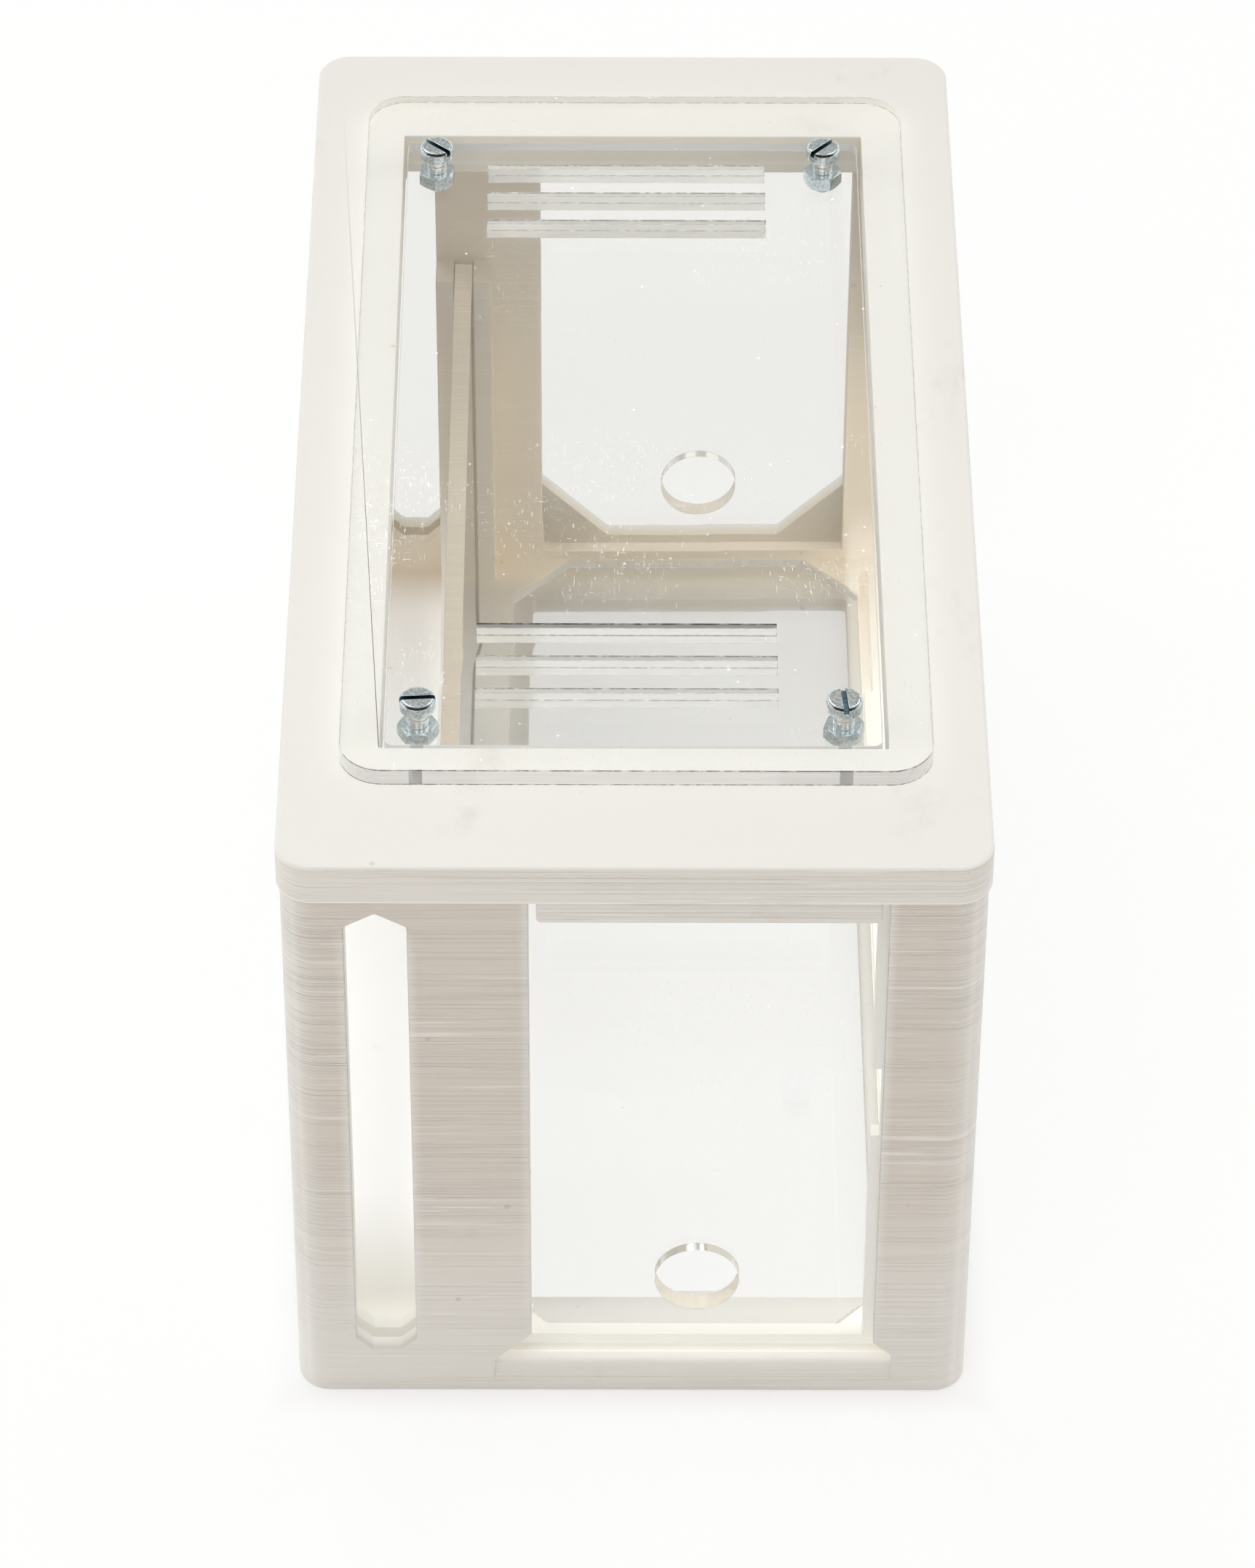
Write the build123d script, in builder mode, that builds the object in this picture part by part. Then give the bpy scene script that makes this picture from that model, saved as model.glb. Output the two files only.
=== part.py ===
"""Ant habitat: a printed housing with clear acrylic panes, a lift-off lid and a bolted, vented hatch.

Millimetres, +Z up. X runs across the habitat, Y from its front window to its back window.
The origin is the centre of the housing's footprint, on the surface that it stands on.
"""

import os

from build123d import *

os.makedirs("parts", exist_ok=True)

# Housing -----------------------------------------------------------------------------------------
body_width = 105.0
body_depth = 204.0
body_height = 105.0
corner_radius = 5.0
foot_round = 0.8
side_wall = 3.0
floor_thickness = 3.0
inner_corner_radius = 1.0

# End walls are sandwiches: a skin, the slot that the panes stand in, and an inner layer --------------
skin = 3.0
inner_layer = 2.5
sheet = 3.0
slot_clearance = 0.15
edge_clearance = 0.3
pane_top_gap = 0.5

# End walls from left to right: margin, narrow window, post, main window, right post ------------------
left_margin = 9.4
side_window_width = 9.4
post_width = 18.0
right_post_width = 14.7

# Main panes: how far they reach behind the posts, and their tube ports -------------------------------
pane_reach_left = 5.8
pane_reach_right = 3.0
port_radius = 6.5
front_port_offset = 0.45
front_port_height = 22.1
back_port_offset = 2.35
back_port_height = 20.7

# Feet of the main windows ----------------------------------------------------------------------------
lip_rise = 2.0
back_window_chamfer = 11.5
flare_foot_left = 1.1
flare_foot_right = 2.0
sill_recess = 1.0
sill_lean_start = 2.4
sill_round = 0.8

# Ribs behind the right edge of the front pane --------------------------------------------------------
rib_reach = 1.5
rib_gap_start = 52.0
rib_gap = 14.0

# Narrow windows --------------------------------------------------------------------------------------
side_window_bottom = 9.4
side_window_chamfer = 2.6
side_window_roof = 2.7
side_window_top_margin = 2.6
side_pane_reach = 2.4

# Divider and the channels that hold it ---------------------------------------------------------------
divider_height = 69.5
divider_end_gap = 1.0
divider_seat_gap = 0.2
channel_clearance = 0.15
rail_width = 3.1
rail_depth = 6.0

# Floor window under the floor pane -------------------------------------------------------------------
floor_ledge_left = 3.8
floor_ledge_right = 2.4
floor_ledge_end = 9.2
floor_window_radius = 1.0
floor_pane_chamfer = 10.0
lift_notch_width = 1.5
lift_notch_length = 33.0
lift_notch_margin = 3.2

# Lid -------------------------------------------------------------------------------------------------
lid_overhang = 0.5
lid_thickness = 7.0
lid_edge_round = 0.6
lid_rim_side = 14.5
lid_rim_end = 24.8
plug_depth = 2.0
plug_clearance = 0.3
tongue_drop = 4.3
tongue_side_gap = 1.2
tongue_face_inset = 0.1
tongue_corner_radius = 0.8

# Hatch: a plate over the lid's opening and a plate in it ---------------------------------------------
upper_plate_lap_side = 6.35
upper_plate_lap_end = 8.1
upper_plate_center = (0.3, 1.3)
upper_plate_radius = 6.5
lower_plate_gap_side = 0.7
lower_plate_gap_end = 1.25
lower_plate_center = (-0.1, -0.7)
lower_plate_radius = 1.5
vent_width = 1.0
vent_to_bolt = 9.2
vent_pitch = 7.55
vents_per_bank = 3
vent_bank_inset = 18.5
vent_center = (-1.15, 0.4)

# M3 slotted cheese-head screws and hexagon nuts ------------------------------------------------------
bolt_inset_side = 6.0
bolt_inset_end = 7.4
bolt_center = (-0.5, 0.0)
bolt_radius = 1.5
bolt_length = 10.0
bolt_hole_clearance = 0.1
head_radius = 2.75
head_height = 2.0
screw_chamfer = 0.25
driver_slot_width = 0.8
driver_slot_depth = 0.85
driver_slot_turns = (4.0, 95.0, -42.0, 47.0)
nut_across_flats = 5.5
nut_height = 2.4
nut_corner_trim = 0.07
nut_thread_gap = 0.02
nut_turns = (0.0, 12.0, 25.0, -8.0)

# Places across the housing that follow from the sizes above ------------------------------------------
inner_half_width = body_width / 2 - side_wall
side_window_left = -body_width / 2 + left_margin
side_window_right = side_window_left + side_window_width
side_slot_left = side_window_left - side_pane_reach
side_slot_right = side_window_right + side_pane_reach
window_left = side_window_right + post_width
window_right = body_width / 2 - right_post_width
window_width = window_right - window_left
window_center = (window_left + window_right) / 2
chamber_left = window_left - pane_reach_left
chamber_right = window_right + pane_reach_right
chamber_width = chamber_right - chamber_left
chamber_center = (chamber_left + chamber_right) / 2
channel_width = sheet + 2 * channel_clearance
channel_left = side_window_right + rail_width
channel_right = channel_left + channel_width

# Places along the housing, as distances from its middle ----------------------------------------------
ends = (-1, 1)
outer_face = body_depth / 2
skin_inner_face = outer_face - skin
pane_slot = sheet + 2 * slot_clearance
layer_outer_face = skin_inner_face - pane_slot
layer_inner_face = layer_outer_face - inner_layer

# Heights ---------------------------------------------------------------------------------------------
sill_height = floor_thickness + sheet
lip_height = sill_height + lip_rise
pane_height = body_height - sill_height - pane_top_gap
divider_top = floor_thickness + divider_height
plug_bottom = body_height - plug_depth
lid_top = body_height + lid_thickness
upper_plate_top = lid_top + sheet
lower_plate_bottom = lid_top - sheet

# The hatch follows the lid's opening -----------------------------------------------------------------
opening_width = body_width - 2 * lid_rim_side
opening_depth = body_depth - 2 * lid_rim_end
bolt_spacing_x = opening_width - 2 * bolt_inset_side
bolt_spacing_y = opening_depth - 2 * bolt_inset_end
vent_length = bolt_spacing_x - 2 * vent_to_bolt
vent_bank_spacing = opening_depth - 2 * vent_bank_inset


def wall_plane(y_start):
    """Upright plane at one Y, with sketch x along X and sketch y along Z; extrude(-t) goes +Y."""
    return Plane.XZ.offset(-y_start)


def layer_start(end, near_face, far_face):
    """Lower Y of an end wall's layer, for the front (-1) or the back (1) wall."""
    return min(end * near_face, end * far_face)


def side_window_outline():
    """Narrow window: bevelled bottom corners and a pointed top that prints without support."""
    top = body_height - side_window_top_margin
    return [
        (side_window_left, side_window_bottom + side_window_chamfer),
        (side_window_left + side_window_chamfer, side_window_bottom),
        (side_window_right - side_window_chamfer, side_window_bottom),
        (side_window_right, side_window_bottom + side_window_chamfer),
        (side_window_right, top - side_window_roof),
        ((side_window_left + side_window_right) / 2, top),
        (side_window_left, top - side_window_roof),
    ]


def front_window_outline():
    """Front window, open at the top, flaring at 45 degrees to the pane's full width at the sill."""
    return [
        (window_left, body_height),
        (window_left, sill_height + flare_foot_left + pane_reach_left),
        (chamber_left, sill_height + flare_foot_left),
        (chamber_left, sill_height),
        (chamber_right, sill_height),
        (chamber_right, sill_height + flare_foot_right),
        (window_right, sill_height + flare_foot_right + pane_reach_right),
        (window_right, body_height),
    ]


def back_window_outline():
    """Back window, open at the top, with both bottom corners cut off at 45 degrees."""
    return [
        (window_left, body_height),
        (window_left, lip_height + back_window_chamfer),
        (window_left + back_window_chamfer, lip_height),
        (window_right - back_window_chamfer, lip_height),
        (window_right, lip_height + back_window_chamfer),
        (window_right, body_height),
    ]


# Housing: one printed piece --------------------------------------------------------------------------
with BuildPart() as housing:
    # Outer block, rounded at its four upright corners and softened round its foot.
    with BuildSketch(Plane.XY):
        RectangleRounded(body_width, body_depth, corner_radius)
    extrude(amount=body_height)
    fillet(housing.faces().sort_by(Axis.Z)[0].edges(), foot_round)

    # The cavity, from the floor to the open top.
    with BuildSketch(Plane.XY.offset(floor_thickness)):
        RectangleRounded(2 * inner_half_width, 2 * layer_inner_face, inner_corner_radius)
    extrude(amount=body_height, mode=Mode.SUBTRACT)

    # Raised curb round the floor pane, from the divider's channel to the right wall.
    curb_right = inner_half_width + inner_corner_radius
    with BuildSketch(Plane.XY.offset(floor_thickness)):
        with Locations(((channel_right + curb_right) / 2, 0)):
            Rectangle(curb_right - channel_right, 2 * layer_inner_face)
    extrude(amount=sheet)

    # The floor pane's seat in that curb, its corners cut at 45 degrees, and a notch to lift it by.
    with BuildSketch(Plane.XY.offset(floor_thickness)) as floor_seat:
        with Locations((chamber_center, 0)):
            Rectangle(chamber_width, 2 * layer_inner_face)
        chamfer(floor_seat.vertices(), floor_pane_chamfer)
        notch_y = layer_inner_face - lift_notch_margin - lift_notch_length / 2
        with Locations((chamber_right + lift_notch_width / 2, notch_y)):
            Rectangle(lift_notch_width, lift_notch_length)
    extrude(amount=sheet, mode=Mode.SUBTRACT)

    # The floor window, smaller than the seat, so that the pane lies on a ledge all round.
    floor_window_width = chamber_width - floor_ledge_left - floor_ledge_right
    floor_window_depth = 2 * (layer_inner_face - floor_ledge_end)
    with BuildSketch(Plane.XY):
        with Locations((chamber_left + floor_ledge_left + floor_window_width / 2, 0)):
            RectangleRounded(floor_window_width, floor_window_depth, floor_window_radius)
    extrude(amount=floor_thickness, mode=Mode.SUBTRACT)

    # The divider's channels: a pair of upright rails on each end wall, and a low rail on the floor.
    left_rail_x = channel_left - rail_width / 2
    right_rail_x = channel_right + rail_width / 2
    rail_y = layer_inner_face - rail_depth / 2
    with BuildSketch(Plane.XY.offset(floor_thickness)):
        with Locations(*[(x, end * rail_y) for x in (left_rail_x, right_rail_x) for end in ends]):
            Rectangle(rail_width, rail_depth)
    extrude(amount=divider_height)
    with BuildSketch(Plane.XY.offset(floor_thickness)):
        with Locations((left_rail_x, 0)):
            Rectangle(rail_width, 2 * layer_inner_face)
    extrude(amount=sheet)

    for end in ends:
        slot_start = layer_start(end, layer_outer_face, skin_inner_face)
        # Slots for the main pane and the narrow pane, open at the top.
        with BuildSketch(wall_plane(slot_start)):
            with Locations((chamber_center, sill_height)):
                Rectangle(chamber_width, body_height, align=(Align.CENTER, Align.MIN))
            with Locations((side_slot_left, sill_height)):
                Rectangle(side_slot_right - side_slot_left, body_height, align=(Align.MIN, Align.MIN))
        extrude(amount=-pane_slot, mode=Mode.SUBTRACT)
        # Narrow window, through skin and inner layer alike.
        with BuildSketch(wall_plane(layer_start(end, layer_inner_face, outer_face))):
            Polygon(*side_window_outline(), align=None)
        extrude(amount=-(outer_face - layer_inner_face), mode=Mode.SUBTRACT)
        # Main window of the inner layer, above a low lip that holds the pane's foot.
        with BuildSketch(wall_plane(layer_start(end, layer_inner_face, layer_outer_face))):
            with Locations((window_center, lip_height)):
                Rectangle(window_width, body_height, align=(Align.CENTER, Align.MIN))
        extrude(amount=-inner_layer, mode=Mode.SUBTRACT)

    # Main windows of the skin: flared at the front, cut corners at the back.
    with BuildSketch(wall_plane(-outer_face)):
        Polygon(*front_window_outline(), align=None)
    extrude(amount=-skin, mode=Mode.SUBTRACT)
    with BuildSketch(wall_plane(skin_inner_face)):
        Polygon(*back_window_outline(), align=None)
    extrude(amount=-skin, mode=Mode.SUBTRACT)

    # The front sill leans back from the skin, up to a rounded nose.
    sill_nose_y = -outer_face + sill_recess
    with BuildSketch(Plane.YZ.offset(chamber_left)):
        Polygon(
            (-outer_face, sill_lean_start),
            (sill_nose_y, sill_height),
            (-outer_face, sill_height),
            align=None,
        )
    extrude(amount=chamber_width, mode=Mode.SUBTRACT)
    tolerance = 0.01
    sill_nose = (
        housing.edges()
        .filter_by(Axis.X)
        .filter_by_position(Axis.Y, sill_nose_y - tolerance, sill_nose_y + tolerance)
        .filter_by_position(Axis.Z, sill_height - tolerance, sill_height + tolerance)
    )
    fillet(sill_nose, sill_round)

    # Two ribs carry the right edge of the front pane; the gap between them lets it be pushed out.
    rib_top = plug_bottom - plug_clearance
    rib_gap_end = rib_gap_start + rib_gap
    for rib_low, rib_high in ((lip_height, rib_gap_start), (rib_gap_end, rib_top)):
        with BuildSketch(wall_plane(-layer_outer_face)):
            with Locations((window_right - rib_reach / 2, rib_low)):
                Rectangle(rib_reach, rib_high - rib_low, align=(Align.CENTER, Align.MIN))
        extrude(amount=-inner_layer)
housing.part.label = "housing"
export_step(housing.part, "parts/housing.step")

# Main panes in the end walls, each with a tube port --------------------------------------------------
pane_width = chamber_width - 2 * edge_clearance
front_port = (chamber_center + front_port_offset, front_port_height)
back_port = (chamber_center + back_port_offset, back_port_height)
for name, end, port in (("front_pane", -1, front_port), ("back_pane", 1, back_port)):
    pane_start = layer_start(end, layer_outer_face, skin_inner_face) + slot_clearance
    with BuildPart() as end_pane:
        with BuildSketch(wall_plane(pane_start)):
            with Locations((chamber_center, sill_height)):
                Rectangle(pane_width, pane_height, align=(Align.CENTER, Align.MIN))
            with Locations(port):
                Circle(port_radius, mode=Mode.SUBTRACT)
        extrude(amount=-sheet)
    end_pane.part.label = name
    export_step(end_pane.part, f"parts/{name}.step")

# Narrow panes in the end walls -----------------------------------------------------------------------
side_pane_width = side_slot_right - side_slot_left - 2 * edge_clearance
for name, end in (("front_side_pane", -1), ("back_side_pane", 1)):
    pane_start = layer_start(end, layer_outer_face, skin_inner_face) + slot_clearance
    with BuildPart() as side_pane:
        with BuildSketch(wall_plane(pane_start)):
            with Locations((side_slot_left + edge_clearance, sill_height)):
                Rectangle(side_pane_width, pane_height, align=(Align.MIN, Align.MIN))
        extrude(amount=-sheet)
    side_pane.part.label = name
    export_step(side_pane.part, f"parts/{name}.step")

# Floor pane: lies in the seat, flush with the curb ---------------------------------------------------
with BuildPart() as floor_pane:
    with BuildSketch(Plane.XY.offset(floor_thickness)) as floor_pane_outline:
        with Locations((chamber_center, 0)):
            Rectangle(pane_width, 2 * (layer_inner_face - edge_clearance))
        chamfer(floor_pane_outline.vertices(), floor_pane_chamfer)
    extrude(amount=sheet)
floor_pane.part.label = "floor_pane"
export_step(floor_pane.part, "parts/floor_pane.step")

# Divider: slides up out of its channels --------------------------------------------------------------
divider_bottom = floor_thickness + divider_seat_gap
with BuildPart() as divider_pane:
    with BuildSketch(Plane.XY.offset(divider_bottom)):
        with Locations(((channel_left + channel_right) / 2, 0)):
            Rectangle(sheet, 2 * (layer_inner_face - divider_end_gap))
    extrude(amount=divider_top - divider_bottom)
divider_pane.part.label = "divider_pane"
export_step(divider_pane.part, "parts/divider_pane.step")

# Lid frame -------------------------------------------------------------------------------------------
with BuildPart() as lid_frame:
    # Plate, a little larger than the housing, softened along its top edge.
    with BuildSketch(Plane.XY.offset(body_height)):
        RectangleRounded(
            body_width + 2 * lid_overhang,
            body_depth + 2 * lid_overhang,
            corner_radius + lid_overhang,
        )
    extrude(amount=lid_thickness)
    fillet(lid_frame.faces().sort_by(Axis.Z)[-1].edges(), lid_edge_round)

    # Plug that drops inside the housing's walls and centres the lid.
    with BuildSketch(Plane.XY.offset(plug_bottom)):
        RectangleRounded(
            2 * (inner_half_width - plug_clearance),
            2 * (layer_inner_face - plug_clearance),
            inner_corner_radius,
        )
    extrude(amount=plug_depth)

    # A tongue at each end closes the open top of the main window, in line with the skin.
    tongue_thickness = skin - tongue_face_inset - slot_clearance
    tongue_width = window_width - 2 * tongue_side_gap
    for end in ends:
        tongue_outer_face = outer_face - tongue_face_inset
        tongue_start = layer_start(end, tongue_outer_face - tongue_thickness, tongue_outer_face)
        with BuildSketch(wall_plane(tongue_start)) as tongue:
            with Locations((window_center, body_height - tongue_drop)):
                Rectangle(tongue_width, tongue_drop, align=(Align.CENTER, Align.MIN))
            fillet(tongue.vertices().group_by(Axis.Z)[0], tongue_corner_radius)
        extrude(amount=-tongue_thickness)

    # Opening for the hatch, through plate and plug.
    with BuildSketch(Plane.XY.offset(plug_bottom)):
        Rectangle(opening_width, opening_depth)
    extrude(amount=lid_thickness + plug_depth, mode=Mode.SUBTRACT)
lid_frame.part.label = "lid_frame"
export_step(lid_frame.part, "parts/lid_frame.step")

# Hatch plates: the upper one laps over the opening's edges, the lower one fills the opening ----------
upper_plate_size = (opening_width + 2 * upper_plate_lap_side, opening_depth + 2 * upper_plate_lap_end)
lower_plate_size = (opening_width - 2 * lower_plate_gap_side, opening_depth - 2 * lower_plate_gap_end)
for name, plate_bottom, plate_center, plate_size, plate_radius in (
    ("hatch_upper_plate", lid_top, upper_plate_center, upper_plate_size, upper_plate_radius),
    ("hatch_lower_plate", lower_plate_bottom, lower_plate_center, lower_plate_size, lower_plate_radius),
):
    with BuildPart() as hatch_plate:
        with BuildSketch(Plane.XY.offset(plate_bottom)):
            with Locations(plate_center):
                RectangleRounded(*plate_size, plate_radius)
            # Clearance holes for the four screws.
            with Locations(bolt_center):
                with GridLocations(bolt_spacing_x, bolt_spacing_y, 2, 2):
                    Circle(bolt_radius + bolt_hole_clearance, mode=Mode.SUBTRACT)
            # Two banks of ventilation slots, too narrow for an ant.
            with Locations(vent_center):
                with GridLocations(0, vent_bank_spacing, 1, 2):
                    with GridLocations(0, vent_pitch, 1, vents_per_bank):
                        Rectangle(vent_length, vent_width, mode=Mode.SUBTRACT)
        extrude(amount=sheet)
    hatch_plate.part.label = name
    export_step(hatch_plate.part, f"parts/{name}.step")

# Screws and nuts, front pair first -------------------------------------------------------------------
bolt_places = [
    (bolt_center[0] + side * bolt_spacing_x / 2, bolt_center[1] + end * bolt_spacing_y / 2)
    for end in ends
    for side in (-1, 1)
]
for number, (bolt_place, slot_turn, nut_turn) in enumerate(
    zip(bolt_places, driver_slot_turns, nut_turns), start=1
):
    with BuildPart() as hatch_screw:
        with BuildSketch(Plane.XY.offset(upper_plate_top)):
            with Locations(bolt_place):
                Circle(head_radius)
        extrude(amount=head_height)
        chamfer(hatch_screw.faces().sort_by(Axis.Z)[-1].edges(), screw_chamfer)
        with BuildSketch(Plane.XY.offset(upper_plate_top + head_height - driver_slot_depth)):
            with Locations(Location((*bolt_place, 0), slot_turn)):
                Rectangle(4 * head_radius, driver_slot_width)
        extrude(amount=driver_slot_depth, mode=Mode.SUBTRACT)
        with BuildSketch(Plane.XY.offset(upper_plate_top)):
            with Locations(bolt_place):
                Circle(bolt_radius)
        extrude(amount=-bolt_length)
        chamfer(hatch_screw.faces().sort_by(Axis.Z)[0].edges(), screw_chamfer)
    hatch_screw.part.label = f"hatch_screw_{number}"
    export_step(hatch_screw.part, f"parts/hatch_screw_{number}.step")

    # The nut's corners are turned off to a circle a little smaller than the hexagon's.
    with BuildPart() as hatch_nut:
        with BuildSketch(Plane.XY.offset(lower_plate_bottom)):
            with Locations(Location((*bolt_place, 0), nut_turn)):
                RegularPolygon(nut_across_flats / 2, 6, major_radius=False)
            with Locations(bolt_place):
                Circle(nut_across_flats / 3**0.5 - nut_corner_trim, mode=Mode.INTERSECT)
                Circle(bolt_radius + nut_thread_gap, mode=Mode.SUBTRACT)
        extrude(amount=-nut_height)
    hatch_nut.part.label = f"hatch_nut_{number}"
    export_step(hatch_nut.part, f"parts/hatch_nut_{number}.step")
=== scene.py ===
"""Looks of the ant habitat: printed housing and lid, clear sheets, bolts and a studio.

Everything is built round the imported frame, in metres: +X right, +Y to the back, +Z up.
"""

import sys

import logging
import math
from collections.abc import Callable, Iterator
from contextlib import contextmanager
from dataclasses import dataclass, field
from enum import Enum

import bmesh
import bpy
from mathutils import Matrix, Vector


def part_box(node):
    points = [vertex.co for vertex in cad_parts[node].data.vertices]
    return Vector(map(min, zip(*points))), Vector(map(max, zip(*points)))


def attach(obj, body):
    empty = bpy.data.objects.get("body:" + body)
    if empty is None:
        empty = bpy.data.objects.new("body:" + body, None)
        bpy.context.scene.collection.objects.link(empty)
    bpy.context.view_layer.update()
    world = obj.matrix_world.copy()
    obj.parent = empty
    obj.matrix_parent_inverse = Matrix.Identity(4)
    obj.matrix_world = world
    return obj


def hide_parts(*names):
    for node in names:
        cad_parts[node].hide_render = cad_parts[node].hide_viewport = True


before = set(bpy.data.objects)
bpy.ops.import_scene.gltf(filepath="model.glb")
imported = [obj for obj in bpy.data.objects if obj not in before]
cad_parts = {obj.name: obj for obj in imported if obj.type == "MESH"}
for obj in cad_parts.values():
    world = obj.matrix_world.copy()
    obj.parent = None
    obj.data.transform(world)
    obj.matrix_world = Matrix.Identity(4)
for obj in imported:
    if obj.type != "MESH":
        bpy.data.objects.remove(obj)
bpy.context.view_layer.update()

MM = 0.001
LOG = logging.getLogger("ant_habitat")
Pair = tuple[float, float]
Triple = tuple[float, float, float]
Colour = tuple[float, float, float, float]

BLACK: Colour = (0.0, 0.0, 0.0, 1.0)
WHITE: Colour = (1.0, 1.0, 1.0, 1.0)
ACRYLIC_IOR = 1.49
PRINT_IOR = 1.46
# Places that the finishes and the bolts take from the frame
HALF_WIDTH, HALF_DEPTH, HOUSING_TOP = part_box("housing")[1]
LID_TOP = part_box("lid_frame")[1].z
PLATE_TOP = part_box("hatch_upper_plate")[1].z
PLATE_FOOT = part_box("hatch_lower_plate")[0].z
# Two points or heights nearer than this are the same one
SAME = 0.001 * MM
# A flat face turns less than this at an edge that is only there to split it
FLAT_WITHIN = math.radians(0.3)
# A face is square to an axis where its normal runs along it by more than this
SQUARE = 0.99


class Axis(Enum):
    """The direction that a sheet's thickness runs in."""

    X = 0
    Y = 1
    Z = 2


def tone(red: float, green: float, blue: float) -> Colour:
    """Turns a colour of 0 to 255 steps, as on a screen, into the shader's linear one.

    Args:
        red: red step.
        green: green step.
        blue: blue step.

    Returns:
        Linear red, green, blue and an alpha of 1.
    """
    linear = []
    for step in (red, green, blue):
        part = step / 255
        linear.append(part / 12.92 if part <= 0.04045 else ((part + 0.055) / 1.055) ** 2.4)
    return (*linear, 1.0)


def middle(node: str) -> Vector:
    """Gives the middle of a CAD node's box."""
    low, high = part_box(node)
    return (low + high) / 2


class Field:
    """One value of a shader tree, which Python's operators combine."""

    def __init__(self, graph: "Graph", socket: bpy.types.NodeSocket) -> None:
        """Wraps an output socket.

        Args:
            graph: the tree that the socket belongs to.
            socket: the output socket.
        """
        self.graph = graph
        self.socket = socket

    def _math(self, operation: str, first: object, second: object = 0.0) -> "Field":
        """Adds a Math node.

        Args:
            operation: the node's operation.
            first: first value, a field or a number.
            second: second value, a field or a number.

        Returns:
            The result as a field.
        """
        return self.graph.value(
            "ShaderNodeMath", {"operation": operation}, {0: first, 1: second}
        )

    def __add__(self, other: object) -> "Field":
        """Adds other."""
        return self._math("ADD", self, other)

    __radd__ = __add__

    def __sub__(self, other: object) -> "Field":
        """Takes other away."""
        return self._math("SUBTRACT", self, other)

    def __rsub__(self, other: object) -> "Field":
        """Takes this field away from other."""
        return self._math("SUBTRACT", other, self)

    def __mul__(self, other: object) -> "Field":
        """Multiplies by other."""
        return self._math("MULTIPLY", self, other)

    __rmul__ = __mul__

    def __abs__(self) -> "Field":
        """Drops the sign."""
        return self._math("ABSOLUTE", self)

    def most(self, other: object) -> "Field":
        """Takes the larger of this field and other."""
        return self._math("MAXIMUM", self, other)

    def least(self, other: object) -> "Field":
        """Takes the smaller of this field and other."""
        return self._math("MINIMUM", self, other)

    def wave(self) -> "Field":
        """Takes the sine."""
        return self._math("SINE", self)

    def between(self, low: float, high: float) -> "Field":
        """Ramps smoothly from 0 at low to 1 at high.

        Args:
            low: where the ramp starts.
            high: where it ends, which may be under low for a falling ramp.

        Returns:
            The ramp as a field of 0 to 1.
        """
        return self.graph.value(
            "ShaderNodeMapRange",
            {"interpolation_type": "SMOOTHSTEP"},
            {"Value": self, "From Min": low, "From Max": high},
        )


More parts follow.
